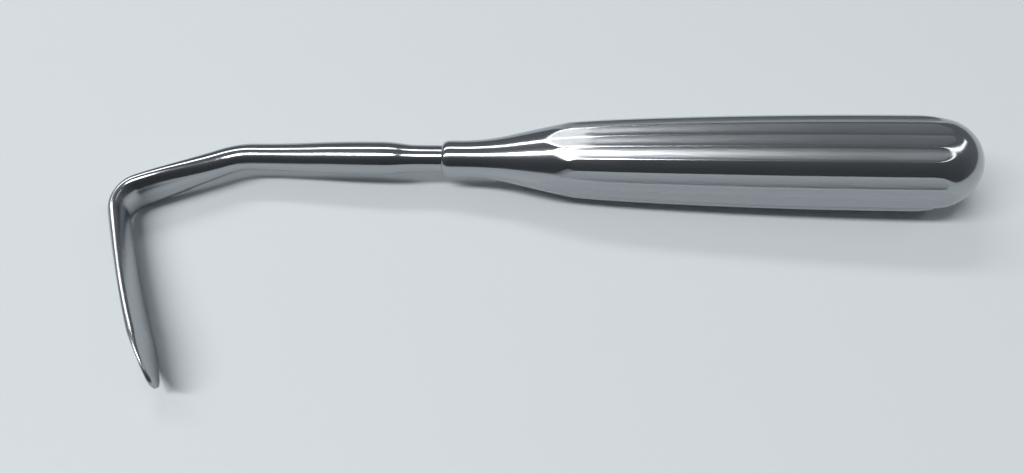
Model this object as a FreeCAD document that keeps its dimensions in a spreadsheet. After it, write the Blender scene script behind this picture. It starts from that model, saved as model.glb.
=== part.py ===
import FreeCAD, Part
import math
import os

import Sketcher

# A handheld retractor, lying on its side: a hollow fluted handle, and a forging brazed into
# its neck that runs as a rod, bends, flattens to a strip and turns into a blunt blade.
# While it is drawn, the seam between the two is at the origin, the handle runs along +X,
# the blade points to -Y, and Z is across the blade.

os.makedirs("parts", exist_ok=True)
doc = FreeCAD.newDocument("Retractor")
Vec = FreeCAD.Vector

DRIVING = {
    # Handle: stations are distances from the seam, radii are from its axis.
    "handle_length": 129.0,
    "neck_radius": 4.55,
    "neck_lead": 1.1,
    "neck_straight": 4.2,
    "flare_radius": 56.0,
    "flare_angle": 11.8,
    "grip_radius": 11.5,
    "grip_crest": 106.0,
    "crown_radius": 1370.0,
    "shoulder_station": 47.0,
    "shoulder_radius": 625.0,
    "flute_radius": 4.6,
    "flute_fade_radius": 26.0,
    "flute_fade_end": 28.0,
    "flute_full_start": 46.0,
    "dome_start": 108.5,
    "dome_clearance": 0.4,
    "dome_cap_radius": 10.9,
    "wall": 1.2,
    "cavity_radius": 9.3,
    "socket_depth": 18.0,
    # Forging: lengths along its middle line, half thicknesses and half widths.
    "braze_gap": 0.05,
    "tang_radius": 3.35,
    "tang_length": 17.0,
    "slim_length": 5.7,
    "swell_start": 15.9,
    "swell_end": 18.1,
    "swell_radius": 4.1,
    "rod_length": 48.6,
    "waist_radius": 3.3,
    "bend_radius": 18.5,
    "bend_angle": 25.7,
    "round_length": 4.3,
    "strip_length": 20.9,
    "strip_half_thick": 2.65,
    "strip_half_width": 5.35,
    "corner_radius": 6.6,
    "corner_angle": 87.1,
    "corner_half_thick": 2.3,
    "corner_half_width": 4.7,
    "blade_length": 49.2,
    "blade_curve_radius": 354.0,
    "blade_half_thick": 1.65,
    "blade_half_width": 6.3,
    "tongue_length": 12.5,
    "lip_half_thick": 0.9,
    "tip_round": 0.9,
}

sheet = doc.addObject("Spreadsheet::Sheet", "sizes")
for row, (alias, value) in enumerate(DRIVING.items(), start=1):
    sheet.set(f"A{row}", alias)
    sheet.set(f"B{row}", str(value))
    sheet.setAlias(f"B{row}", alias)
doc.recompute()


class Size:
    """A length or angle: its value now, and the expression that ties it to the sheet."""

    def __init__(self, value, text):
        self.value = float(value)
        self.text = text

    def combine(self, other, sign, result):
        return Size(result, f"({self.text} {sign} {as_size(other).text})")

    def __add__(self, other):
        return self.combine(other, "+", self.value + as_size(other).value)

    def __sub__(self, other):
        return self.combine(other, "-", self.value - as_size(other).value)

    def __mul__(self, other):
        return self.combine(other, "*", self.value * as_size(other).value)

    def __truediv__(self, other):
        return self.combine(other, "/", self.value / as_size(other).value)

    def __neg__(self):
        return as_size(0) - self


def as_size(item):
    """A plain number as a Size."""
    return item if isinstance(item, Size) else Size(item, f"{item:.10g}")


def size(name):
    """The sheet cell of that name."""
    return Size(sheet.get(name), f"sizes.{name}")


def sin(angle):
    """The sine of an angle in degrees."""
    return Size(math.sin(math.radians(angle.value)), f"sin({angle.text})")


def cos(angle):
    """The cosine of an angle in degrees."""
    return Size(math.cos(math.radians(angle.value)), f"cos({angle.text})")


def root(item):
    """The square root of a size."""
    return Size(math.sqrt(item.value), f"sqrt({item.text})")


def between(first, last, share):
    """A size part of the way from one to another."""
    return first + (last - first) * share


def new_body(name):
    """An empty sub-part with its own label."""
    body = doc.addObject("PartDesign::Body", name)
    body.Label = name
    return body


def plane(body, role):
    """One of a body's own origin planes."""
    return next(item for item in body.Origin.OriginFeatures if item.Role == role)


def new_sketch(body, name, role):
    """A sketch lying on one of a body's origin planes."""
    sketch = body.newObject("Sketcher::SketchObject", name)
    sketch.AttachmentSupport = [(plane(body, role), "")]
    sketch.MapMode = "FlatFace"
    return sketch


def bind(sketch, named):
    """Adds driving constraints together, then ties each to the sheet by its own name."""
    added = sketch.addConstraint([constraint for constraint, _, _ in named])
    for index, (_, name, expression) in zip(added, named):
        sketch.renameConstraint(index, name)
        sketch.setExpression(f"Constraints.{name}", expression)


def place(edge, end, name, along, across):
    """The two constraints that hold one point of an edge."""
    return [
        (Sketcher.Constraint("DistanceX", -1, 1, edge, end, along.value), name + "_x", along.text),
        (Sketcher.Constraint("DistanceY", -1, 1, edge, end, across.value), name + "_y", across.text),
    ]


def arc_between(start, end, radius, left):
    """The shorter arc between two points, its centre to the left or right of the way."""
    middle = (start + end) * 0.5
    half = (end - start) * 0.5
    side = Vec(-half.y, half.x, 0).normalize() * (1 if left else -1)
    centre = middle + side * math.sqrt(radius ** 2 - half.Length ** 2)
    return Part.Arc(start, centre - side * radius, end)


def outline(sketch, corners, arcs):
    """A closed profile: corners are pairs of sizes, arcs map an edge to its radius and side."""
    points = [Vec(along.value, across.value, 0) for along, across in corners]
    ends = []
    for index, start in enumerate(points):
        end = points[(index + 1) % len(points)]
        if index in arcs:
            radius, left = arcs[index]
            sketch.addGeometry(arc_between(start, end, radius.value, left))
        else:
            sketch.addGeometry(Part.LineSegment(start, end))
        forward = (sketch.getPoint(index, 1) - start).Length < 1e-6
        ends.append((1, 2) if forward else (2, 1))
    joints = []
    named = []
    for index, (along, across) in enumerate(corners):
        before = (index - 1) % len(corners)
        here = ends[index][0]
        joints.append(Sketcher.Constraint("Coincident", before, ends[before][1], index, here))
        named += place(index, here, f"corner{index}", along, across)
    for index, (radius, _) in arcs.items():
        held = Sketcher.Constraint("Radius", index, radius.value)
        named.append((held, f"arc{index}", radius.text))
    sketch.addConstraint(joints)
    bind(sketch, named)


def turn_away(body, sketch, name):
    """Turns a profile away all round the handle's axis, and checks that it cut."""
    before = body.Shape.Volume
    groove = body.newObject("PartDesign::Groove", name)
    groove.Profile = sketch
    groove.ReferenceAxis = (sketch, ["H_Axis"])
    groove.Angle = 360
    doc.recompute()
    if groove.Shape.isNull() or groove.Shape.Volume >= before:
        raise RuntimeError(name + " cut nothing")
    return groove


ZERO = as_size(0)

# The handle starts as a round bar with four wide flats and, beside each, two narrow ones. A
# smooth strip of the round stays between them. The flats are fluted, two flutes on a wide one
# and one on a narrow one, and the bar is then turned to its neck, its dome and its hollow.
handle = new_body("handle")

STEPS = 20
PITCH = 360 / STEPS
QUARTER = STEPS // 4
OVERRUN = 1.0
CLEAR = 2.0


def corner_circle(station):
    """Radius of the bar's round: a long crown that falls faster towards the neck."""
    away = size("grip_crest") - station
    radius = size("grip_radius") - away * away / (size("crown_radius") * 2)
    if station.value < size("shoulder_station").value:
        below = size("shoulder_station") - station
        radius = radius - below * below / (size("shoulder_radius") * 2)
    return radius


def bar_section(name, station, flute):
    """One section of the bar: ridges a step apart, with a hollow flute or a strip of the round."""
    sketch = new_sketch(handle, name, "YZ_Plane")
    sketch.setExpression("AttachmentOffset.Base.z", station.text)
    round_radius = corner_circle(station)
    ridges = []
    sides = {}
    for step in range(STEPS):
        in_quarter = step % QUARTER
        reach = round_radius * cos(as_size(PITCH)) if in_quarter == 0 else round_radius
        turn = as_size(step * PITCH)
        ridges.append((reach * sin(turn), reach * cos(turn)))
        smooth_strip = in_quarter == QUARTER // 2
        sides[step] = (round_radius, False) if smooth_strip else (flute, True)
    outline(sketch, ridges, sides)
    return sketch


faint = size("flute_fade_radius")
full = size("flute_radius")
bar_sections = [
    bar_section("bar_at_seam", ZERO, faint),
    bar_section("bar_on_neck", size("flute_fade_end") / 2, faint),
    bar_section("bar_at_arches", size("flute_fade_end"), faint),
    bar_section("bar_at_flutes", size("flute_full_start"), full),
    bar_section("bar_on_grip", (size("flute_full_start") + size("grip_crest")) / 2, full),
    bar_section("bar_at_crest", size("grip_crest"), full),
    bar_section("bar_past_dome", size("handle_length") + OVERRUN, full),
]
bar = handle.newObject("PartDesign::AdditiveLoft", "fluted_bar")
bar.Profile = bar_sections[0]
bar.Sections = [(section, "") for section in bar_sections[1:]]
bar.Ruled = False
doc.recompute()

# Neck and flare: where the cone runs out through a flat it leaves an arch at the flat's foot.
clear = size("grip_radius") + CLEAR
flare_out = size("neck_straight") + size("flare_radius") * sin(size("flare_angle"))
flare_up = size("neck_radius") + size("flare_radius") * (as_size(1) - cos(size("flare_angle")))
slope = sin(size("flare_angle")) / cos(size("flare_angle"))
neck_line = new_sketch(handle, "neck_line", "XY_Plane")
outline(neck_line, [
    (ZERO, size("neck_radius") - size("neck_lead")),
    (size("neck_lead"), size("neck_radius")),
    (size("neck_straight"), size("neck_radius")),
    (flare_out, flare_up),
    (flare_out + (clear - flare_up) / slope, clear),
    (as_size(-OVERRUN), clear),
    (as_size(-OVERRUN), size("neck_radius") - size("neck_lead")),
], {0: (size("neck_lead"), False), 2: (size("flare_radius"), True)})
turn_away(handle, neck_line, "turned_neck")

# Dome: a shoulder that starts level with the crest and runs into a rounder cap.
rise = size("grip_radius") + size("dome_clearance")
cap = size("dome_cap_radius")
run = size("handle_length") - size("dome_start") - cap
shoulder = (run * run + rise * rise - cap * cap) / ((rise - cap) * 2)
slant = root(run * run + (shoulder - rise) * (shoulder - rise))
meet = (size("handle_length") - cap + cap * run / slant, cap * (shoulder - rise) / slant)
dome_line = new_sketch(handle, "dome_line", "XY_Plane")
outline(dome_line, [
    (size("dome_start"), rise),
    meet,
    (size("handle_length"), ZERO),
    (size("handle_length") + CLEAR, ZERO),
    (size("handle_length") + CLEAR, clear),
    (size("dome_start"), clear),
], {0: (shoulder, False), 1: (cap, False)})
turn_away(handle, dome_line, "turned_dome")

# Hollow: the socket for the tang opens into a cavity that keeps its distance from the skin.
bore = size("tang_radius") + size("braze_gap")
cavity_end = size("handle_length") - size("wall")
shadow = size("wall") / cos(size("flare_angle"))
cavity_line = new_sketch(handle, "cavity_line", "XY_Plane")
outline(cavity_line, [
    (as_size(-OVERRUN), ZERO),
    (as_size(-OVERRUN), bore),
    (size("socket_depth"), bore),
    (size("socket_depth"), flare_up + (size("socket_depth") - flare_out) * slope - shadow),
    (size("flute_fade_end"), flare_up + (size("flute_fade_end") - flare_out) * slope - shadow),
    (cavity_end - size("cavity_radius"), size("cavity_radius")),
    (cavity_end, ZERO),
], {4: (size("crown_radius"), False), 5: (size("cavity_radius"), False)})
turn_away(handle, cavity_line, "hollow")


def ramp(first, second):
    """The middle point and the radius of two equal arcs that join two levels smoothly."""
    run = second[0] - first[0]
    lift = second[1] - first[1]
    middle = ((first[0] + second[0]) / 2, (first[1] + second[1]) / 2)
    return middle, (run * run + lift * lift) / (lift * 4)


# The forging: a turned rod with its tang, then sections that ride along a bent middle line.
slim_end = (-size("slim_length"), size("tang_radius"))
swell_near = (-size("swell_start"), size("swell_radius"))
swell_far = (-size("swell_end"), size("swell_radius"))
rod_end = (-size("rod_length"), size("waist_radius"))
up_middle, up_radius = ramp(slim_end, swell_near)
down_middle, down_radius = ramp(rod_end, swell_far)
rod_line = doc.addObject("Sketcher::SketchObject", "rod_line")
outline(rod_line, [
    (size("tang_length"), ZERO),
    (size("tang_length"), size("tang_radius")),
    slim_end,
    up_middle,
    swell_near,
    swell_far,
    down_middle,
    rod_end,
    (-size("rod_length"), ZERO),
], {2: (up_radius, False), 3: (up_radius, True), 5: (down_radius, True), 6: (down_radius, False)})
rod = doc.addObject("Part::Revolution", "rod")
rod.Source = rod_line
rod.Axis = Vec(1, 0, 0)
rod.Angle = 360
rod.Solid = True

# The middle line beyond the rod: bend, strip, corner and a slightly hooked blade, each
# tangent to the one before.
spine = doc.addObject("Sketcher::SketchObject", "spine")
BEND, STRIP, CORNER, BLADE = range(4)
blade_turn = size("blade_length") / size("blade_curve_radius") * math.degrees(1)
lead_in = Vec(-size("rod_length").value, 0, 0)
heading = 180.0


def spine_arc(start, heading, radius, turn):
    """An arc of the middle line, turning left, with the point and heading where it ends."""
    out = math.radians(heading - 90)
    centre = start - Vec(math.cos(out), math.sin(out), 0) * radius
    circle = Part.Circle(centre, Vec(0, 0, 1), radius)
    edge = Part.ArcOfCircle(circle, out, out + math.radians(turn))
    spine.addGeometry(edge)
    return edge.EndPoint, heading + turn


here, heading = spine_arc(lead_in, heading, size("bend_radius").value, size("bend_angle").value)
ahead = Vec(math.cos(math.radians(heading)), math.sin(math.radians(heading)), 0)
spine.addGeometry(Part.LineSegment(here, here + ahead * size("strip_length").value))
here = here + ahead * size("strip_length").value
here, heading = spine_arc(here, heading, size("corner_radius").value, size("corner_angle").value)
spine_arc(here, heading, size("blade_curve_radius").value, blade_turn.value)
spine.addConstraint([
    Sketcher.Constraint("Tangent", BEND, 2, STRIP, 1),
    Sketcher.Constraint("Tangent", STRIP, 2, CORNER, 1),
    Sketcher.Constraint("Tangent", CORNER, 2, BLADE, 1),
])
bind(spine, place(BEND, 1, "rod_end", -size("rod_length"), ZERO) + [
    (Sketcher.Constraint("DistanceX", -1, 1, BEND, 3, -size("rod_length").value), "bend_centre",
     (-size("rod_length")).text),
    (Sketcher.Constraint("Radius", BEND, size("bend_radius").value), "bend", "sizes.bend_radius"),
    (Sketcher.Constraint("Angle", BEND, math.radians(size("bend_angle").value)), "bend_turn",
     "sizes.bend_angle"),
    (Sketcher.Constraint("Distance", STRIP, size("strip_length").value), "strip",
     "sizes.strip_length"),
    (Sketcher.Constraint("Radius", CORNER, size("corner_radius").value), "corner",
     "sizes.corner_radius"),
    (Sketcher.Constraint("Angle", CORNER, math.radians(size("corner_angle").value)),
     "corner_turn", "sizes.corner_angle"),
    (Sketcher.Constraint("Radius", BLADE, size("blade_curve_radius").value), "blade",
     "sizes.blade_curve_radius"),
    (Sketcher.Constraint("Angle", BLADE, math.radians(blade_turn.value)), "blade_turn",
     blade_turn.text),
])
doc.recompute()


def oval(name, edge, share, half_thick, half_width, cap_turn):
    """A section across the middle line: two round caps, joined by two flatter sides."""
    sketch = doc.addObject("Sketcher::SketchObject", name)
    sketch.AttachmentSupport = [(spine, f"Edge{edge + 1}")]
    sketch.MapMode = "NormalToEdge"
    sketch.setExpression("MapPathParameter", share.text)
    short = as_size(1) - cos(cap_turn)
    rest = (as_size(1) - sin(cap_turn)) / cos(cap_turn)
    cap_radius = (half_thick - half_width * rest) / (sin(cap_turn) - short * rest)
    corner_along = cap_radius * sin(cap_turn)
    corner_across = half_width - cap_radius * short
    side_radius = corner_across / cos(cap_turn)
    outline(sketch, [
        (corner_along, corner_across),
        (-corner_along, corner_across),
        (-corner_along, -corner_across),
        (corner_along, -corner_across),
    ], {0: (cap_radius, True), 1: (side_radius, True), 2: (cap_radius, True),
        3: (side_radius, True)})
    return sketch


# The sizes run smoothly from one key section to the next. The bend starts round.
ROUND, FLAT = 45, 76
KEYS = {
    "waist": (size("waist_radius"), size("waist_radius"), ROUND),
    "strip": (size("strip_half_thick"), size("strip_half_width"), FLAT),
    "corner": (size("corner_half_thick"), size("corner_half_width"), FLAT),
    "blade": (size("blade_half_thick"), size("blade_half_width"), FLAT),
}


def blend(first, last, share):
    """The section a share of the way between two key sections, easing in and out."""
    eased = share * share * (3 - 2 * share)
    return [between(as_size(a), as_size(b), eased) for a, b in zip(KEYS[first], KEYS[last])]


blade_run = as_size(1) - size("tongue_length") / size("blade_length")
ovals = []
BEND_STEPS, STRIP_STEPS, CORNER_STEPS, BLADE_STEPS = 3, 6, 3, 10
round_run = size("round_length").value
bend_run = size("bend_radius").value * math.radians(size("bend_angle").value)
shank_run = bend_run + size("strip_length").value
for step in range(BEND_STEPS + STRIP_STEPS):
    on_bend = step < BEND_STEPS
    share = step / BEND_STEPS if on_bend else (step - BEND_STEPS) / STRIP_STEPS
    past = bend_run * share if on_bend else bend_run + size("strip_length").value * share
    section = blend("waist", "strip", max(past - round_run, 0) / (shank_run - round_run))
    edge = BEND if on_bend else STRIP
    ovals.append(oval(f"shank_{step}", edge, as_size(share), *section))
for step in range(CORNER_STEPS):
    share = step / CORNER_STEPS
    ovals.append(oval(f"corner_{step}", CORNER, as_size(share), *blend("strip", "corner", share)))
for step in range(BLADE_STEPS):
    share = step / BLADE_STEPS
    ovals.append(oval(f"blade_{step}", BLADE, blade_run * share, *blend("corner", "blade", share)))

# The tongue's outline is half an ellipse, and its last stretch is rounded through the thickness.
TONGUE_SHARES = (0.0, 0.28, 0.55, 0.76, 0.9, 0.965, 0.988, 0.998)
for number, share in enumerate(TONGUE_SHARES):
    along = blade_run + size("tongue_length") / size("blade_length") * share
    half_thick = between(size("blade_half_thick"), size("lip_half_thick"), share)
    left = size("tongue_length") * (1 - share)
    if left.value < size("tip_round").value:
        inward = as_size(1) - left / size("tip_round")
        half_thick = half_thick * root(as_size(1) - inward * inward)
    half_width = size("blade_half_width") * math.sqrt(1 - share ** 2)
    ovals.append(oval(f"tongue_{number}", BLADE, along, half_thick, half_width, as_size(FLAT)))
doc.recompute()
bent_blade = doc.addObject("Part::Loft", "bent_blade")
bent_blade.Sections = ovals
bent_blade.Solid = True
bent_blade.Ruled = False
bent_blade.MaxDegree = 2
blade_shank = doc.addObject("Part::Fuse", "blade_shank")
blade_shank.Label = "blade_shank"
blade_shank.Base = rod
blade_shank.Tool = bent_blade
doc.recompute()


# At rest the handle's lower flat and the blade's lower edge both touch the table, so the tool
# is tipped a little towards its neck. The tip is found from the two built shapes.
PARTS = (handle, blade_shank)


def box_at(item, rotation):
    """The exact box of a sub-part, turned about the seam."""
    turned = item.Shape.copy()
    turned.Placement = FreeCAD.Placement(Vec(0, 0, 0), rotation)
    return turned.optimalBoundingBox(True, False)


def tipped(degrees):
    """The rotation that lowers the neck end by that many degrees."""
    return FreeCAD.Rotation(Vec(0, 1, 0), -degrees)


def blade_gap(degrees):
    """How much higher the blade's lower edge lies than the handle's."""
    return box_at(blade_shank, tipped(degrees)).ZMin - box_at(handle, tipped(degrees)).ZMin


TOUCHING = 0.0005
before, tip = 1.0, 3.0
gap_before, gap = blade_gap(before), blade_gap(tip)
while abs(gap) > TOUCHING:
    before, tip = tip, tip - gap * (tip - before) / (gap - gap_before)
    gap_before, gap = gap, blade_gap(tip)

# The finished frame: the origin is under the middle of the whole tool, on the table.
boxes = [box_at(item, tipped(tip)) for item in PARTS]
middle_x = (min(box.XMin for box in boxes) + max(box.XMax for box in boxes)) / 2
middle_y = (min(box.YMin for box in boxes) + max(box.YMax for box in boxes)) / 2
table = min(box.ZMin for box in boxes)
for item in PARTS:
    item.Placement = FreeCAD.Placement(Vec(-middle_x, -middle_y, -table), tipped(tip))
doc.recompute()

for item in doc.Objects:
    if "Invalid" in item.State or "Error" in item.State:
        raise RuntimeError(f"{item.Name} failed: {item.State}")
for item in PARTS:
    shape = item.Shape
    if shape.isNull() or not shape.isValid() or len(shape.Solids) != 1:
        raise RuntimeError(f"{item.Label} is not one valid solid")
for item in PARTS:
    item.Shape.exportStep(f"parts/{item.Label}.step")
    print(item.Label, round(item.Shape.Volume, 1), "mm3")
print("tip", round(tip, 3), "seam at", [round(v, 3) for v in handle.Placement.Base])
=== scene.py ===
"""Looks for a handheld retractor: polished steel on a plain pale table, under long lights."""

import math

import bpy
import numpy as np
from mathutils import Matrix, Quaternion, Vector


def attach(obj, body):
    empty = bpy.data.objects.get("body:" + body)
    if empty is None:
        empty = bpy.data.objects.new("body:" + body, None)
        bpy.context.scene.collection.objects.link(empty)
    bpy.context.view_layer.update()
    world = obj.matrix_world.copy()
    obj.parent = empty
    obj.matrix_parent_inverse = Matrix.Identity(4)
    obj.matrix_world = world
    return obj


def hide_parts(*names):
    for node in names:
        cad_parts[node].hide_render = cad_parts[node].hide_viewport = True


bl_info = {
    "name": "Handheld Retractor",
    "version": (1, 0, 0),
    "blender": (4, 5, 0),
    "location": "View3D > Sidebar > Retractor",
    "description": "Finishes a fluted handheld retractor and lays it on a pale table",
    "category": "Object",
}

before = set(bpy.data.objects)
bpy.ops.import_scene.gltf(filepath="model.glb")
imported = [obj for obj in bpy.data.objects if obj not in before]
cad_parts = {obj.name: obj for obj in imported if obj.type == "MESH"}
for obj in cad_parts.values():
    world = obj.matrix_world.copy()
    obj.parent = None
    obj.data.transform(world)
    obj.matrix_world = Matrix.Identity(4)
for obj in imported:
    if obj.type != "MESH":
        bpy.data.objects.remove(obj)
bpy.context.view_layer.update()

MM = 0.001

# The pose of the tool on the table: the seam's place, and the tip about Y that lowers the neck.
SEAM = Vector((-23.718, 26.238, 8.313))
TIP = math.radians(1.824)


def smooth(share):
    """An ease in and out from 0 to 1."""
    share = np.clip(share, 0.0, 1.0)
    return share * share * (3 - 2 * share)


def to_table(points):
    """Points in the tool's own frame, in mm, moved to where the tool lies, in metres."""
    along, across, up = points[..., 0], points[..., 1], points[..., 2]
    tipped = np.stack([
        along * math.cos(TIP) - up * math.sin(TIP),
        across,
        along * math.sin(TIP) + up * math.cos(TIP),
    ], axis=-1)
    return (tipped + np.array(SEAM)) * MM


def skin(name, rings):
    """A smooth closed mesh through rings of points, with a fan of triangles at each end."""
    rings = np.asarray(rings)
    count, around = rings.shape[:2]
    verts = rings.reshape(-1, 3)
    row = np.arange(around)
    turn = np.roll(row, -1)
    faces = []
    for ring in range(count - 1):
        low, high = ring * around, (ring + 1) * around
        faces.append(np.stack([low + row, high + row, high + turn, low + turn], axis=1))
    quads = np.concatenate(faces)
    hubs = np.stack([rings[0].mean(axis=0), rings[-1].mean(axis=0)])
    first_hub = len(verts)
    last = (count - 1) * around
    fans = [(int(here), first_hub, int(there)) for here, there in zip(row, turn)]
    fans += [(int(last + there), first_hub + 1, int(last + here)) for here, there in zip(row, turn)]
    verts = np.concatenate([verts, hubs])
    mesh = bpy.data.meshes.new(name)
    mesh.from_pydata(to_table(verts).tolist(), [], quads.tolist() + fans)
    mesh.validate()
    mesh.shade_smooth()
    piece = bpy.data.objects.new(name, mesh)
    bpy.context.scene.collection.objects.link(piece)
    return piece


# Handle: the same turned and fluted shape as the solid, with softened edges.
# Its round is cut into steps, five from one wide flat to the next: two for the wide flat, one for
# the narrow flat on each side of it, and one for the smooth strip between two narrow flats.
STEPS = 20
STEP = 360 / STEPS
STEP_POINTS = 18
FLAT_STEPS = 5
SMOOTH_STEP = 2
QUARTER_TURN = 90.0

# A nudge that keeps a turn on a ridge in the step that it starts.
HAIR = 1e-9

# How far above the grip the narrow flats' feet and the dome's turning stand where they don't cut.
NARROW_CLEARANCE = 0.5
DOME_ROOM = 2.0

# Where the rings' spacing changes, in mm from the seam, and how many rings each stretch has.
MOUTH_STATION = 0.25
MOUTH_STEP = 0.35
LEAD_RINGS = 9
TURNED_END, TURNED_RINGS = 15.5, 26
ARCHES_END, ARCHES_RINGS = 46, 112
GRIP_END, GRIP_RINGS = 109, 38
SCALLOP_RINGS = 44
CROWN_RINGS = 26

# How far edges are rounded over, in mm, and the points over which the ridges are blurred.
FOOT_SOFT = 0.06
ARCH_SOFT = 0.12
SCALLOP_SOFT = 0.2
RIDGE_BLUR = 5

# The grinding marks are full where a flat lies this deep, in mm, below the turned round. Strips and
# ridges keep only a share of them, and a ridge's shine takes up a share of each step.
GROUND_DEPTH = 0.25
STRIP_SATIN = 0.3
RIDGE_SATIN = 0.3
RIDGE_SHARE = 0.16


def bar_radius(station, sizes):
    """Radius of the bar's round at a station."""
    radius = sizes.grip_radius - (sizes.grip_crest - station) ** 2 / (2 * sizes.crown_radius)
    if station < sizes.shoulder_station:
        radius -= (sizes.shoulder_station - station) ** 2 / (2 * sizes.shoulder_radius)
    return radius


def foot_radius(station, turn, sizes):
    """Radius of the flats' feet, which are ground a little deeper than the flats further up."""
    share = smooth((station - sizes.foot_start) / (sizes.foot_end - sizes.foot_start))
    radius = bar_radius(station, sizes)
    wide = radius * math.cos(math.radians(STEP)) - sizes.foot_depth * (1 - share)
    on_side = np.mod(turn + QUARTER_TURN / 2, 2 * QUARTER_TURN) >= QUARTER_TURN
    wide = wide - sizes.side_depth * on_side
    narrow = radius * math.cos(math.radians(STEP / 2)) - sizes.foot_depth * (1 - share)
    narrow = narrow + NARROW_CLEARANCE * share
    lean = np.mod(turn + QUARTER_TURN / 2, QUARTER_TURN) - QUARTER_TURN / 2
    off = np.abs(lean) - 1.5 * STEP
    return np.minimum(wide / np.cos(np.radians(lean)), narrow / np.cos(np.radians(off)))


def ridge(step, radius, sizes):
    """The point of a ridge: on the round, or on a wide flat, which lie deeper on the two sides."""
    tilt = math.cos(math.radians(STEP))
    turn = np.radians(step * STEP)
    side = np.mod(step - FLAT_STEPS + 1, 2 * FLAT_STEPS) <= 2
    middle = np.mod(step, FLAT_STEPS) == 0
    reach = np.where(middle, radius * tilt, radius)
    reach = reach - np.where(side, sizes.side_depth * np.where(middle, 1.0, 1 / tilt), 0.0)
    return np.stack([reach * np.sin(turn), reach * np.cos(turn)])


def fluted(station, turn, sizes):
    """Radius of the fluted bar at a station, for an array of turns in degrees."""
    radius = bar_radius(station, sizes)
    step = np.floor(turn / STEP + HAIR)
    near, far = ridge(step, radius, sizes), ridge(step + 1, radius, sizes)
    chord = np.linalg.norm(far - near, axis=0)
    fade = sizes.flute_full_start - sizes.flute_fade_end
    share = smooth((station - sizes.flute_fade_end) / fade)
    on_side = np.mod(step - FLAT_STEPS + 2, 2 * FLAT_STEPS) <= 3
    hollow_radius = np.where(on_side, sizes.side_flute_radius, sizes.flute_radius)
    curve = (1 - share) / sizes.flute_fade_radius + share / hollow_radius
    depth = curve * chord ** 2 / 8
    hollow = chord ** 2 / (8 * depth) + depth / 2
    middle = (near + far) / 2
    across = far - near
    out = np.stack([-across[1], across[0]]) / chord
    centre = middle + out * (hollow - depth)
    ray = np.stack([np.sin(np.radians(turn)), np.cos(np.radians(turn))])
    along = (ray * centre).sum(axis=0)
    gap = (centre ** 2).sum(axis=0) - hollow ** 2
    flute = along - np.sqrt(np.maximum(along ** 2 - gap, 0))
    return np.where(np.mod(step, FLAT_STEPS) == SMOOTH_STEP, radius, flute)


def neck_radius(station, sizes):
    """Radius of the turned neck, flare and cone at a station."""
    if station < sizes.lead_length:
        left = 1 - station / sizes.lead_length
        return sizes.neck_radius - sizes.neck_lead * (1 - math.sqrt(1 - left ** 2))
    if station < sizes.neck_straight:
        return sizes.neck_radius
    angle = math.radians(sizes.flare_angle)
    reach = sizes.flare_radius * math.sin(angle)
    past = station - sizes.neck_straight
    if past < reach:
        return sizes.neck_radius + sizes.flare_radius - math.sqrt(sizes.flare_radius ** 2 - past ** 2)
    start = sizes.neck_radius + sizes.flare_radius * (1 - math.cos(angle))
    return start + (past - reach) * math.tan(angle)


def dome_arcs(sizes):
    """The dome's shoulder and cap as two tangent arcs."""
    rise = sizes.grip_radius + sizes.dome_clearance
    cap = sizes.dome_cap_radius
    run = sizes.handle_length - sizes.dome_start - cap
    shoulder = (run * run + rise * rise - cap * cap) / (2 * (rise - cap))
    slant = math.hypot(run, shoulder - rise)
    meet = sizes.handle_length - cap + cap * run / slant
    return rise, cap, shoulder, meet


def dome_radius(station, sizes):
    """Radius of the turned dome at a station."""
    rise, cap, shoulder, meet = dome_arcs(sizes)
    if station <= sizes.dome_start:
        return rise + DOME_ROOM
    if station <= meet:
        return rise - shoulder + math.sqrt(shoulder ** 2 - (station - sizes.dome_start) ** 2)
    left = station - (sizes.handle_length - cap)
    return math.sqrt(max(cap ** 2 - left ** 2, 0.0))


def round_ring(station, radius, turn):
    """A ring of points at a station, for a radius at each turn."""
    turn = np.radians(turn)
    return np.stack([np.full(len(turn), station), radius * np.sin(turn), radius * np.cos(turn)], axis=1)


def soft_least(first, second, soft):
    """The smaller of two radii, with the edge between them rounded over."""
    share = np.clip(0.5 + 0.5 * (second - first) / soft, 0, 1)
    return second + (first - second) * share - soft * share * (1 - share)


def stretch(start, end, count):
    """Evenly spaced stations after a start and up to an end."""
    return np.linspace(start, end, count)[1:]


def handle_stations(sizes):
    """Where the handle's rings stand, closer together at its mouth, arches and scallops."""
    _, cap, _, meet = dome_arcs(sizes)
    lead = sizes.lead_length * (1 - np.cos(np.linspace(0, math.pi / 2, LEAD_RINGS)))
    swing = stretch(math.acos((meet - sizes.handle_length + cap) / cap), 0, CROWN_RINGS)[:-1]
    return np.concatenate([
        lead,
        stretch(sizes.lead_length, TURNED_END, TURNED_RINGS),
        stretch(TURNED_END, ARCHES_END, ARCHES_RINGS),
        stretch(ARCHES_END, GRIP_END, GRIP_RINGS),
        stretch(GRIP_END, meet, SCALLOP_RINGS),
        sizes.handle_length - cap + cap * np.cos(swing),
    ])


def blur(radius):
    """Radii round the bar, each mixed with its neighbours, which rounds the ridges."""
    kernel = np.hanning(RIDGE_BLUR)
    kernel /= kernel.sum()
    shifts = range(-(RIDGE_BLUR // 2), RIDGE_BLUR // 2 + 1)
    return sum(weight * np.roll(radius, shift) for weight, shift in zip(kernel, shifts))


def satin_share(turn):
    """How satin the ground flats are at each turn: less on ridges, least on the smooth strips."""
    smooth_strip = np.mod(np.floor(turn / STEP + HAIR), FLAT_STEPS) == SMOOTH_STEP
    off_ridge = np.abs(np.mod(turn / STEP + 0.5, 1.0) - 0.5)
    between_ridges = RIDGE_SATIN + (1 - RIDGE_SATIN) * smooth(off_ridge / RIDGE_SHARE)
    return np.where(smooth_strip, STRIP_SATIN, between_ridges)


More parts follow.
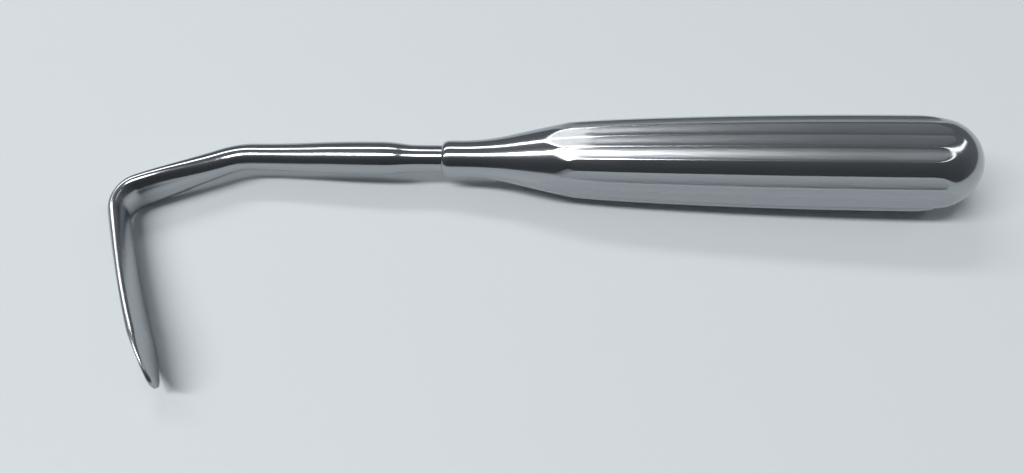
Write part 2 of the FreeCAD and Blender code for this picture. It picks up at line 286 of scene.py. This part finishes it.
def handle_rings(sizes):
    """Rings of the handle from its neck's mouth to its dome, and how satin each point is."""
    around = STEPS * STEP_POINTS
    turn = np.arange(around) * 360 / around
    share = satin_share(turn)
    mouth = sizes.neck_radius - sizes.neck_lead - MOUTH_STEP
    rings = [round_ring(MOUTH_STATION, np.full(around, mouth), turn)]
    satin = [np.zeros(around)]
    for station in handle_stations(sizes):
        bar = blur(fluted(station, turn, sizes))
        bar = soft_least(bar, foot_radius(station, turn, sizes), FOOT_SOFT)
        neck, dome = neck_radius(station, sizes), dome_radius(station, sizes)
        radius = soft_least(soft_least(bar, neck, ARCH_SOFT), dome, SCALLOP_SOFT)
        rings.append(round_ring(station, radius, turn))
        satin.append(share * smooth((min(neck, dome) - bar) / GROUND_DEPTH))
    return rings, np.concatenate(satin)


# Forging: sections that ride along the bent middle line, with how many points a section and how
# many rings each stretch has. The last ring stands just short of the tip.
SECTION_POINTS = 96
ROUND_TURN = 45.0
TONGUE_SHARE = 0.998
TANG_RINGS = 8
ROD_RINGS = 150
STRIP_RINGS = 110
CORNER_RINGS = 70
BLADE_RINGS = 120
TONGUE_RINGS = 56


def spine_point(along, sizes):
    """Point and heading of the middle line, a length away from the seam."""
    if along <= sizes.rod_length:
        return np.array([-along, 0.0]), math.pi
    along -= sizes.rod_length
    point = np.array([-sizes.rod_length, 0.0])
    heading = math.pi
    runs = (
        (sizes.bend_radius * math.radians(sizes.bend_angle), sizes.bend_radius),
        (sizes.strip_length, None),
        (sizes.corner_radius * math.radians(sizes.corner_angle), sizes.corner_radius),
        (sizes.blade_length, sizes.blade_curve_radius),
    )
    for length, radius in runs:
        step = min(along, length)
        if radius is None:
            point = point + step * np.array([math.cos(heading), math.sin(heading)])
        else:
            turn = step / radius
            left = np.array([-math.sin(heading), math.cos(heading)])
            centre = point + radius * left
            heading += turn
            point = centre - radius * np.array([-math.sin(heading), math.cos(heading)])
        along -= step
        if along <= 0:
            break
    return point, heading


def oval(half_thick, half_width, cap_turn, around):
    """A section of two round caps joined by two flatter sides, as (thick, wide) points."""
    turn = math.radians(cap_turn)
    rest = (1 - math.sin(turn)) / math.cos(turn)
    short = 1 - math.cos(turn)
    cap = (half_thick - half_width * rest) / (math.sin(turn) - short * rest)
    side = (half_width - cap * short) / math.cos(turn)
    cap_centre = half_width - cap
    side_centre = half_thick - side
    quarter = around // 4
    near = quarter // 2
    caps = np.linspace(0, turn, quarter - near, endpoint=False)
    sides = np.linspace(turn, math.pi / 2, near, endpoint=False)
    thick = np.concatenate([cap * np.sin(caps), side_centre + side * np.sin(sides)])
    wide = np.concatenate([cap_centre + cap * np.cos(caps), side * np.cos(sides)])
    first = np.stack([thick, wide], axis=1)
    second = np.stack([thick[::-1], -wide[::-1]], axis=1)
    top = np.array([[half_thick, 0.0]])
    half = np.concatenate([first, top, second[:-1]])
    return np.concatenate([half, -half])


def ramp_radius(along, start, start_radius, end, end_radius):
    """Radius on two equal arcs that join two levels smoothly."""
    run = end - start
    lift = end_radius - start_radius
    arc = (run ** 2 + lift ** 2) / (4 * abs(lift))
    sign = 1 if lift > 0 else -1
    if along < start + run / 2:
        return start_radius + sign * (arc - math.sqrt(arc ** 2 - (along - start) ** 2))
    return end_radius - sign * (arc - math.sqrt(arc ** 2 - (end - along) ** 2))


def shank_section(along, sizes):
    """Half thickness, half width and cap turn of the forging's section at a length."""
    if along < sizes.slim_length:
        return sizes.tang_radius, sizes.tang_radius, ROUND_TURN
    if along < sizes.swell_start:
        radius = ramp_radius(
            along, sizes.slim_length, sizes.tang_radius, sizes.swell_start, sizes.swell_radius)
        return radius, radius, ROUND_TURN
    if along < sizes.swell_end:
        return sizes.swell_radius, sizes.swell_radius, ROUND_TURN
    if along < sizes.rod_length:
        radius = ramp_radius(
            along, sizes.swell_end, sizes.swell_radius, sizes.rod_length, sizes.waist_radius)
        return radius, radius, ROUND_TURN
    keys = (
        (sizes.waist_radius, sizes.waist_radius, ROUND_TURN),
        (sizes.strip_half_thick, sizes.strip_half_width, sizes.edge_turn),
        (sizes.corner_half_thick, sizes.corner_half_width, sizes.edge_turn),
        (sizes.blade_half_thick, sizes.blade_half_width, sizes.blade_turn),
    )
    bend = sizes.bend_radius * math.radians(sizes.bend_angle)
    corner = sizes.corner_radius * math.radians(sizes.corner_angle)
    past = along - sizes.rod_length
    if past < bend + sizes.strip_length:
        first, last = 0, 1
        share = max(past - sizes.round_length, 0) / (bend + sizes.strip_length - sizes.round_length)
    elif past < bend + sizes.strip_length + corner:
        first, last, share = 1, 2, (past - bend - sizes.strip_length) / corner
    else:
        first, last = 2, 3
        share = (past - bend - sizes.strip_length - corner) / (sizes.blade_length - sizes.tongue_length)
    if share <= 1:
        eased = float(smooth(share))
        return tuple(a + (b - a) * eased for a, b in zip(keys[first], keys[last]))
    tongue = past - bend - sizes.strip_length - corner - sizes.blade_length + sizes.tongue_length
    tongue = min(tongue / sizes.tongue_length, TONGUE_SHARE)
    thick = sizes.blade_half_thick + (sizes.lip_half_thick - sizes.blade_half_thick) * tongue
    left = sizes.tongue_length * (1 - tongue)
    if left < sizes.tip_round:
        thick *= math.sqrt(1 - (1 - left / sizes.tip_round) ** 2)
    return thick, sizes.blade_half_width * math.sqrt(1 - tongue ** 2), sizes.blade_turn


def shank_rings(sizes):
    """Rings of the forging from the end of its tang to its tip, and how satin each point is."""
    bend = sizes.bend_radius * math.radians(sizes.bend_angle)
    corner = sizes.corner_radius * math.radians(sizes.corner_angle)
    corner_start = sizes.rod_length + bend + sizes.strip_length
    blade_start = corner_start + corner
    tongue_start = blade_start + sizes.blade_length - sizes.tongue_length
    swing = stretch(0, math.pi / 2, TONGUE_RINGS)
    stations = np.concatenate([
        np.linspace(-sizes.tang_length, 0, TANG_RINGS),
        stretch(0, sizes.rod_length, ROD_RINGS),
        stretch(sizes.rod_length, corner_start, STRIP_RINGS),
        stretch(corner_start, blade_start, CORNER_RINGS),
        stretch(blade_start, tongue_start, BLADE_RINGS),
        tongue_start + sizes.tongue_length * np.sin(swing) * TONGUE_SHARE,
    ])
    rings = []
    satin = []
    for along in stations:
        point, heading = spine_point(along, sizes)
        thick, wide, cap_turn = shank_section(along, sizes)
        section = oval(thick, wide, cap_turn, SECTION_POINTS)
        side = np.array([-math.sin(heading), math.cos(heading)])
        plan = point + section[:, :1] * side
        rings.append(np.column_stack([plan, section[:, 1]]))
        satin.append(np.full(len(section), smooth((along - corner_start) / corner)))
    return rings, np.concatenate(satin)


def length(name, default, description):
    """A size that a user may change, in millimetres."""
    return bpy.props.FloatProperty(
        name=name, description=description, default=default, min=0.0, precision=2)


class RETRACTOR_PG_handle(bpy.types.PropertyGroup):
    """Sizes and steel of the handle."""

    handle_length: length("Length (mm)", 128.99, "From the seam to the end of the dome")
    neck_radius: length("Neck Radius (mm)", 4.55, "Radius of the straight neck")
    neck_lead: length("Neck Lead (mm)", 1.1, "Height of the rounding at the neck's mouth")
    lead_length: length("Lead Length (mm)", 1.9, "Length of the rounding at the neck's mouth")
    neck_straight: length("Neck Straight (mm)", 4.2, "Where the straight neck ends")
    flare_radius: length("Flare Radius (mm)", 56.0, "Radius of the curve that opens the neck")
    flare_angle: bpy.props.FloatProperty(
        name="Flare Angle (deg)", description="Slope of the cone under the grip", default=12.7)
    grip_radius: length("Grip Radius (mm)", 11.5, "Corner radius of the grip where it is thickest")
    grip_crest: length("Grip Crest (mm)", 106.0, "Station where the grip is thickest")
    crown_radius: length("Crown Radius (mm)", 1370.0, "Radius of the grip's long crown")
    shoulder_station: length(
        "Shoulder Station (mm)", 47.0, "Station where the crown starts to fall faster")
    shoulder_radius: length("Shoulder Radius (mm)", 625.0, "Radius of that faster fall")
    flute_radius: length("Flute Radius (mm)", 5.6, "Radius of each hollow flute")
    side_flute_radius: length(
        "Side Flute Radius (mm)", 13.0, "Radius of the shallower flutes on the two sides")
    side_depth: length(
        "Side Depth (mm)", 0.33, "How much deeper the wide flats on the two sides are ground")
    flute_fade_radius: length("Fade Radius (mm)", 14.0, "Radius of the flutes where they die out")
    flute_fade_end: length("Fade Station (mm)", 26.0, "Station where the flutes have died out")
    flute_full_start: length("Full Station (mm)", 38.0, "Station where the flutes are fully cut")
    foot_start: length("Foot Start (mm)", 27.0, "Station up to which the wide flats are ground deeper")
    foot_end: length("Foot End (mm)", 42.0, "Station where the wide flats lie level with the grip")
    foot_depth: length("Foot Depth (mm)", 0.33, "How much deeper the flats are at their feet")
    dome_start: length("Dome Station (mm)", 108.5, "Station where the turned dome starts")
    dome_clearance: length("Dome Clearance (mm)", 0.4, "How far the dome's turning starts above the grip")
    dome_cap_radius: length("Cap Radius (mm)", 10.9, "Radius of the dome's rounder cap")
    steel: bpy.props.FloatVectorProperty(
        name="Steel", description="Colour of the polished steel", subtype="COLOR", size=3,
        default=(0.42, 0.435, 0.455), min=0.0, max=1.0)
    shine: bpy.props.FloatProperty(
        name="Polish", description="Roughness of the polished neck and dome", default=0.13,
        min=0.0, max=1.0)
    satin: bpy.props.FloatProperty(
        name="Satin", description="Roughness that the grinding adds in the flutes", default=0.21,
        min=0.0, max=1.0)


class RETRACTOR_PG_forging(bpy.types.PropertyGroup):
    """Sizes and steel of the rod and blade."""

    tang_radius: length("Tang Radius (mm)", 3.35, "Radius of the rod at the neck")
    tang_length: length("Tang Length (mm)", 17.0, "How far the tang reaches into the handle")
    slim_length: length("Slim Length (mm)", 5.7, "Length of the slim rod beside the neck")
    swell_start: length("Swell Start (mm)", 15.9, "Where the rod's swelling is full")
    swell_end: length("Swell End (mm)", 18.1, "Where the rod starts to taper again")
    swell_radius: length("Swell Radius (mm)", 4.1, "Radius of the swelling")
    rod_length: length("Rod Length (mm)", 48.6, "Length of the straight rod")
    waist_radius: length("Waist Radius (mm)", 3.3, "Radius of the rod where it starts to bend")
    bend_radius: length("Bend Radius (mm)", 18.5, "Radius of the gentle bend")
    bend_angle: bpy.props.FloatProperty(
        name="Bend Angle (deg)", description="Turn of the gentle bend", default=25.7)
    round_length: length("Round Length (mm)", 4.3, "How far past the rod the section stays round")
    strip_length: length("Strip Length (mm)", 20.9, "Length of the straight strip")
    edge_turn: bpy.props.FloatProperty(
        name="Edge Turn (deg)", description="Turn of the strip's rounded edges", default=56.0)
    blade_turn: bpy.props.FloatProperty(
        name="Blade Edge Turn (deg)", description="Turn of the blade's rounded edges", default=72.0)
    strip_half_thick: length("Strip Half Thickness (mm)", 2.85, "Half thickness at the corner's start")
    strip_half_width: length("Strip Half Width (mm)", 5.35, "Half width at the corner's start")
    corner_radius: length("Corner Radius (mm)", 6.6, "Radius of the sharp corner")
    corner_angle: bpy.props.FloatProperty(
        name="Corner Angle (deg)", description="Turn of the corner", default=87.1)
    corner_half_thick: length("Corner Half Thickness (mm)", 2.2, "Half thickness after the corner")
    corner_half_width: length("Corner Half Width (mm)", 4.7, "Half width after the corner")
    blade_length: length("Blade Length (mm)", 49.2, "Length of the blade")
    blade_curve_radius: length("Blade Curve (mm)", 354.0, "Radius of the blade's slight hook")
    blade_half_thick: length("Blade Half Thickness (mm)", 1.8, "Half thickness before the tongue")
    blade_half_width: length("Blade Half Width (mm)", 6.3, "Half width before the tongue")
    tongue_length: length("Tongue Length (mm)", 12.5, "Length of the rounded end")
    lip_half_thick: length("Lip Half Thickness (mm)", 0.75, "Half thickness at the tip")
    tip_round: length("Tip Round (mm)", 1.2, "Length over which the tip is rounded")
    steel: bpy.props.FloatVectorProperty(
        name="Steel", description="Colour of the polished steel", subtype="COLOR", size=3,
        default=(0.41, 0.425, 0.445), min=0.0, max=1.0)
    shine: bpy.props.FloatProperty(
        name="Polish", description="Roughness of the polished forging", default=0.14, min=0.0, max=1.0)
    satin: bpy.props.FloatProperty(
        name="Satin", description="Roughness that the blade's duller finish adds", default=0.12,
        min=0.0, max=1.0)


class RETRACTOR_PG_stage(bpy.types.PropertyGroup):
    """Table, lights and camera."""

    table_colour: bpy.props.FloatVectorProperty(
        name="Table", description="Colour of the pale table", subtype="COLOR", size=3,
        default=(0.655, 0.695, 0.72), min=0.0, max=1.0)
    room_colour: bpy.props.FloatVectorProperty(
        name="Room", description="Colour of the far side of the dim room that the steel mirrors",
        subtype="COLOR", size=3, default=(0.165, 0.18, 0.195), min=0.0, max=1.0)
    room_shade: bpy.props.FloatProperty(
        name="Room Shade", description="How bright the near side of the room is, against the far side",
        default=0.3, min=0.0, max=1.0)
    camera_place: bpy.props.FloatVectorProperty(
        name="Camera Place", description="Where the camera stands", subtype="TRANSLATION", unit="LENGTH",
        size=3, default=(0.00714, -0.10247, 0.17494))
    camera_turn: bpy.props.FloatVectorProperty(
        name="Camera Turn", description="Turn of the camera from straight down", subtype="EULER",
        size=3, default=(0.56974, 0.03249, 0.0631))
    lens: bpy.props.FloatProperty(name="Lens (mm)", description="Focal length of the camera", default=29.58)


class NodeBench:
    """Adds and joins nodes of one material."""

    def __init__(self, name):
        self.material = bpy.data.materials.new(name)
        self.material.use_nodes = True
        self.tree = self.material.node_tree
        self.shader = self.tree.nodes["Principled BSDF"]

    def add(self, kind, **values):
        """A node with some of its inputs and settings filled in."""
        node = self.tree.nodes.new(kind)
        for key, value in values.items():
            if key in node.inputs:
                node.inputs[key].default_value = value
            else:
                setattr(node, key, value)
        return node

    def join(self, start, end):
        """Joins an output socket to an input socket."""
        self.tree.links.new(start, end)


# Steel: how many grains and clouds there are in a metre, how much they change the polish, and how
# deep the grinding marks are, in metres.
GRAIN_SCALE = 1500.0
CLOUD_SCALE = 60.0
GRAIN_SHARE = 0.5
POLISH_FROM, POLISH_TO = 0.4, 1.1
POLISH_SPREAD = 0.03
MARK_DEPTH = 0.00005
FAINT_MARKS = 0.03


def polished_steel(name, colour, shine, streak, satin, scratch):
    """Polished stainless steel with a faint grain, and satin where the grinding marks are."""
    bench = NodeBench(name)
    place = bench.add("ShaderNodeTexCoord")
    drawn_out = bench.add("ShaderNodeMapping")
    drawn_out.inputs["Scale"].default_value = streak
    bench.join(place.outputs["Object"], drawn_out.inputs["Vector"])
    fine = bench.add("ShaderNodeTexNoise", Scale=GRAIN_SCALE, Detail=4.0, Roughness=0.6)
    bench.join(drawn_out.outputs["Vector"], fine.inputs["Vector"])
    cloudy = bench.add("ShaderNodeTexNoise", Scale=CLOUD_SCALE, Detail=3.0, Roughness=0.5)
    bench.join(place.outputs["Object"], cloudy.inputs["Vector"])

    blend = bench.add("ShaderNodeMath", operation="MULTIPLY_ADD")
    bench.join(fine.outputs["Fac"], blend.inputs[0])
    blend.inputs[1].default_value = GRAIN_SHARE
    bench.join(cloudy.outputs["Fac"], blend.inputs[2])
    polish = bench.add("ShaderNodeMapRange")
    polish.inputs["From Min"].default_value = POLISH_FROM
    polish.inputs["From Max"].default_value = POLISH_TO
    polish.inputs["To Min"].default_value = shine - POLISH_SPREAD
    polish.inputs["To Max"].default_value = shine + POLISH_SPREAD
    bench.join(blend.outputs["Value"], polish.inputs["Value"])

    ground = bench.add("ShaderNodeAttribute", attribute_name="satin")
    rough = bench.add("ShaderNodeMath", operation="MULTIPLY_ADD")
    bench.join(ground.outputs["Fac"], rough.inputs[0])
    rough.inputs[1].default_value = satin
    bench.join(polish.outputs["Result"], rough.inputs[2])
    bench.join(rough.outputs["Value"], bench.shader.inputs["Roughness"])

    marks = bench.add("ShaderNodeMath", operation="MULTIPLY_ADD")
    bench.join(ground.outputs["Fac"], marks.inputs[0])
    marks.inputs[1].default_value = scratch
    marks.inputs[2].default_value = FAINT_MARKS
    bump = bench.add("ShaderNodeBump", Distance=MARK_DEPTH)
    bench.join(marks.outputs["Value"], bump.inputs["Strength"])
    bench.join(fine.outputs["Fac"], bump.inputs["Height"])
    bench.join(bump.outputs["Normal"], bench.shader.inputs["Normal"])
    bench.shader.inputs["Base Color"].default_value = (*colour, 1.0)
    bench.shader.inputs["Metallic"].default_value = 1.0
    return bench.material


def mark_satin(piece, satin):
    """Stores how satin each point of a piece is, for its material."""
    marks = piece.data.attributes.new("satin", "FLOAT", "POINT")
    marks.data.foreach_set("value", np.pad(satin, (0, len(piece.data.vertices) - len(satin))))


def dress(piece, material, node):
    """Gives a piece its material and its place in the frame."""
    piece.data.materials.append(material)
    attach(piece, "root")
    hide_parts(node)


# How the grain is stretched along each piece, and how strong the grinding marks are.
HANDLE_STREAK = (0.05, 1.0, 1.0)
HANDLE_SCRATCH = 0.9
BLADE_STREAK = (0.3, 0.3, 1.0)
BLADE_SCRATCH = 0.1


class RETRACTOR_OT_handle(bpy.types.Operator):
    """Add the fluted handle"""

    bl_idname = "retractor.add_handle"
    bl_label = "Add Handle"

    def execute(self, context):
        sizes = context.scene.retractor_handle
        rings, satin = handle_rings(sizes)
        piece = skin("fluted_handle", rings)
        mark_satin(piece, satin)
        steel = polished_steel(
            "handle_steel", sizes.steel, sizes.shine, HANDLE_STREAK, sizes.satin, HANDLE_SCRATCH)
        dress(piece, steel, "handle")
        return {"FINISHED"}


class RETRACTOR_OT_forging(bpy.types.Operator):
    """Add the rod and blade"""

    bl_idname = "retractor.add_forging"
    bl_label = "Add Rod and Blade"

    def execute(self, context):
        sizes = context.scene.retractor_forging
        rings, satin = shank_rings(sizes)
        piece = skin("forged_blade", rings)
        mark_satin(piece, satin)
        steel = polished_steel(
            "forged_steel", sizes.steel, sizes.shine, BLADE_STREAK, sizes.satin, BLADE_SCRATCH)
        dress(piece, steel, "blade_shank")
        return {"FINISHED"}


# Long lights: name, place and the point faced in metres, size in metres, power in watts, and a turn
# in degrees about the way each faces.
LONG_LIGHTS = (
    ("overhead_light", (-2.57, -0.92, 4.05), (-2.57, 0.02, 0), (4.75, 0.62), 197.0, 0.0),
    ("far_light", (-2.2, 2.54, 3.48), (-2.2, 0.02, 0), (3.9, 0.6), 58.0, 0.0),
    ("left_light", (-4.3, 1.95, 2.4), (-4.3, 0.02, 0), (3.0, 0.5), 4.8, 0.0),
    ("side_light", (0.95, 0.12, 0.95), (0, 0.02, 0.01), (1.3, 0.12), 1.3, -38.0),
)

# The table's side in metres and its roughness.
TABLE_SIZE = 6.0
TABLE_ROUGHNESS = 0.6

# The directions along Y between which the room goes from its dark side to its full level.
SHADE_FROM, SHADE_TO = -1.0, 0.2

# The camera's sensor in mm, and the nearest that it sees in metres.
SENSOR_WIDTH = 36.0
NEAR_CLIP = 0.01


def long_light(name, place, facing, size, power, tilt):
    """A long soft light that lights the tool and shows only in what the steel mirrors."""
    data = bpy.data.lights.new(name, "AREA")
    data.shape = "RECTANGLE"
    data.size, data.size_y = size
    data.energy = power
    light = bpy.data.objects.new(name, data)
    light.location = place
    aim = (Vector(facing) - Vector(place)).to_track_quat("-Z", "Y")
    light.rotation_euler = (aim @ Quaternion((0, 0, 1), math.radians(tilt))).to_euler()
    light.visible_camera = False
    bpy.context.scene.collection.objects.link(light)
    return light


def pale_table(stage):
    """The plain table that the tool lies on."""
    bpy.ops.mesh.primitive_plane_add(size=TABLE_SIZE, location=(0, 0, 0))
    table = bpy.context.object
    table.name = "pale_table"
    top = NodeBench("pale_table")
    top.shader.inputs["Base Color"].default_value = (*stage.table_colour, 1.0)
    top.shader.inputs["Roughness"].default_value = TABLE_ROUGHNESS
    table.data.materials.append(top.material)
    return table


def dim_room(stage):
    """The room round the table, darker towards the camera's side."""
    world = bpy.data.worlds.new("dim_room")
    world.use_nodes = True
    nodes, links = world.node_tree.nodes, world.node_tree.links
    nodes.clear()
    out = nodes.new("ShaderNodeOutputWorld")
    room = nodes.new("ShaderNodeBackground")
    room.inputs["Color"].default_value = (*stage.room_colour, 1.0)
    heading = nodes.new("ShaderNodeTexCoord")
    parts = nodes.new("ShaderNodeSeparateXYZ")
    links.new(heading.outputs["Generated"], parts.inputs["Vector"])
    shade = nodes.new("ShaderNodeMapRange")
    shade.inputs["From Min"].default_value = SHADE_FROM
    shade.inputs["From Max"].default_value = SHADE_TO
    shade.inputs["To Min"].default_value = stage.room_shade
    shade.inputs["To Max"].default_value = 1.0
    links.new(parts.outputs["Y"], shade.inputs["Value"])
    links.new(shade.outputs["Result"], room.inputs["Strength"])
    links.new(room.outputs["Background"], out.inputs["Surface"])
    return world


def photo_camera(stage):
    """The camera where the photograph was taken."""
    eye = bpy.data.cameras.new("camera")
    eye.lens = stage.lens
    eye.sensor_width = SENSOR_WIDTH
    eye.clip_start = NEAR_CLIP
    camera = bpy.data.objects.new("camera", eye)
    camera.location = stage.camera_place
    camera.rotation_euler = stage.camera_turn
    bpy.context.scene.collection.objects.link(camera)
    return camera


class RETRACTOR_OT_stage(bpy.types.Operator):
    """Add the table, the lights and the camera"""

    bl_idname = "retractor.add_stage"
    bl_label = "Add Table, Lights and Camera"

    def execute(self, context):
        stage = context.scene.retractor_stage
        table = pale_table(stage)
        context.scene.world = dim_room(stage)
        lights = [long_light(*values) for values in LONG_LIGHTS]
        context.scene.camera = photo_camera(stage)
        context.scene.view_settings.view_transform = "Standard"
        return {"FINISHED"}


class RETRACTOR_PT_panel(bpy.types.Panel):
    """Buttons for the retractor"""

    bl_label = "Handheld Retractor"
    bl_idname = "RETRACTOR_PT_panel"
    bl_space_type = "VIEW_3D"
    bl_region_type = "UI"
    bl_category = "Retractor"

    def draw(self, context):
        column = self.layout.column()
        for operator in OPERATORS:
            column.operator(operator.bl_idname)


OPERATORS = (RETRACTOR_OT_handle, RETRACTOR_OT_forging, RETRACTOR_OT_stage)
GROUPS = {
    "retractor_handle": RETRACTOR_PG_handle,
    "retractor_forging": RETRACTOR_PG_forging,
    "retractor_stage": RETRACTOR_PG_stage,
}


def register():
    """Makes the sizes, buttons and panel known to Blender."""
    for name, group in GROUPS.items():
        bpy.utils.register_class(group)
        setattr(bpy.types.Scene, name, bpy.props.PointerProperty(type=group))
    for item in (*OPERATORS, RETRACTOR_PT_panel):
        bpy.utils.register_class(item)


def unregister():
    """Takes them away again."""
    for item in (RETRACTOR_PT_panel, *reversed(OPERATORS)):
        bpy.utils.unregister_class(item)
    for name, group in GROUPS.items():
        delattr(bpy.types.Scene, name)
        bpy.utils.unregister_class(group)


def main():
    """Builds the whole picture."""
    register()
    bpy.ops.retractor.add_handle()
    bpy.ops.retractor.add_forging()
    bpy.ops.retractor.add_stage()


if __name__ == "__main__":
    main()
